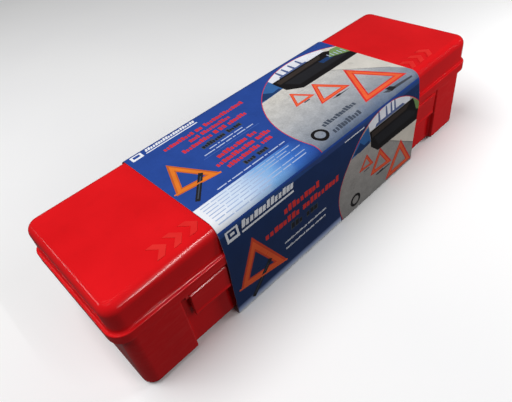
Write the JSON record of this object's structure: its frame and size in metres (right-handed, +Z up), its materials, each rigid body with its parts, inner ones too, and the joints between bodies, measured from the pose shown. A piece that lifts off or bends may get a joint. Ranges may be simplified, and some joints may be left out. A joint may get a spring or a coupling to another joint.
{
  "type": "warning triangle kit",
  "caption": "Hinged red plastic carrying case in a printed card sleeve, holding folded reflective roadside warning triangles with weighted bases.",
  "frame": {"origin": "centre of the bounding box in plan, on the surface it rests on", "axes": "+X along the case's length, towards the far end; +Y from the latch side to the hinge side; +Z up"},
  "size_m": [0.476, 0.1428, 0.113],
  "materials": {
    "case_plastic": "glossy moulded",
    "steel": "zinc plated",
    "printed_card": "satin printed",
    "ballast": "raw",
    "reflector": "prismatic",
    "orange_panel": "fluorescent matte",
    "arm_plastic": "moulded",
    "black_plastic": "moulded"
  },
  "bodies": {
    "case": {"case_base": "case_plastic", "hinge_pin_left": "steel", "hinge_pin_right": "steel", "t1_base": "black_plastic", "t1_ballast": "ballast", "t1_leg_lower": "black_plastic", "t1_leg_upper": "black_plastic", "t1_leg_bolt": "steel", "t1_bottom_reflector": "reflector", "t1_bottom_panel": "orange_panel", "t1_left_arm": "arm_plastic", "t1_left_reflector": "reflector", "t1_left_panel": "orange_panel", "t1_right_arm": "arm_plastic", "t1_right_reflector": "reflector", "t1_right_panel": "orange_panel", "t1_left_rivet": "steel", "t1_right_rivet": "steel", "t1_apex_stud": "black_plastic", "t2_base": "black_plastic", "t2_ballast": "ballast", "t2_leg_lower": "black_plastic", "t2_leg_upper": "black_plastic", "t2_leg_bolt": "steel", "t2_bottom_reflector": "reflector", "t2_bottom_panel": "orange_panel", "t2_left_arm": "arm_plastic", "t2_left_reflector": "reflector", "t2_left_panel": "orange_panel", "t2_right_arm": "arm_plastic", "t2_right_reflector": "reflector", "t2_right_panel": "orange_panel", "t2_left_rivet": "steel", "t2_right_rivet": "steel", "t2_apex_stud": "black_plastic", "t3_base": "black_plastic", "t3_ballast": "ballast", "t3_leg_lower": "black_plastic", "t3_leg_upper": "black_plastic", "t3_leg_bolt": "steel", "t3_bottom_reflector": "reflector", "t3_bottom_panel": "orange_panel", "t3_left_arm": "arm_plastic", "t3_left_reflector": "reflector", "t3_left_panel": "orange_panel", "t3_right_arm": "arm_plastic", "t3_right_reflector": "reflector", "t3_right_panel": "orange_panel", "t3_left_rivet": "steel", "t3_right_rivet": "steel", "t3_apex_stud": "black_plastic"},
    "lid": {"case_lid": "case_plastic", "latch_pin_left": "steel", "latch_pin_right": "steel"},
    "latch_l": {"latch_left": "case_plastic"},
    "latch_r": {"latch_right": "case_plastic"},
    "sleeve_lower": {"sleeve_tray": "printed_card"},
    "sleeve_upper": {"sleeve_cover": "printed_card"}
  },
  "joints": [
    {"name": "lid_hinge", "type": "hinge", "parent": "case", "child": "lid", "pos_m": [0, 0.0675, 0.072], "axis": [-1, 0, 0], "range_deg": [0, 110]},
    {"name": "latch_left_hinge", "type": "hinge", "parent": "lid", "child": "latch_l", "pos_m": [-0.15535, -0.0655, 0.0672], "axis": [-1, 0, 0], "range_deg": [0, 100]},
    {"name": "latch_right_hinge", "type": "hinge", "parent": "lid", "child": "latch_r", "pos_m": [0.15535, -0.0655, 0.0672], "axis": [-1, 0, 0], "range_deg": [0, 100]},
    {"name": "sleeve_slide", "type": "slide", "parent": "case", "child": "sleeve_lower", "axis": [1, 0, 0], "range_m": [-0.38, 0.38]},
    {"name": "sleeve_flap", "type": "hinge", "parent": "sleeve_lower", "child": "sleeve_upper", "pos_m": [0, 0.0675, 0.072], "axis": [-1, 0, 0], "range_deg": [0, 110]}
  ],
  "couplings": [
    {"joint": "sleeve_flap", "follows": "lid_hinge", "ratio": 1}
  ]
}
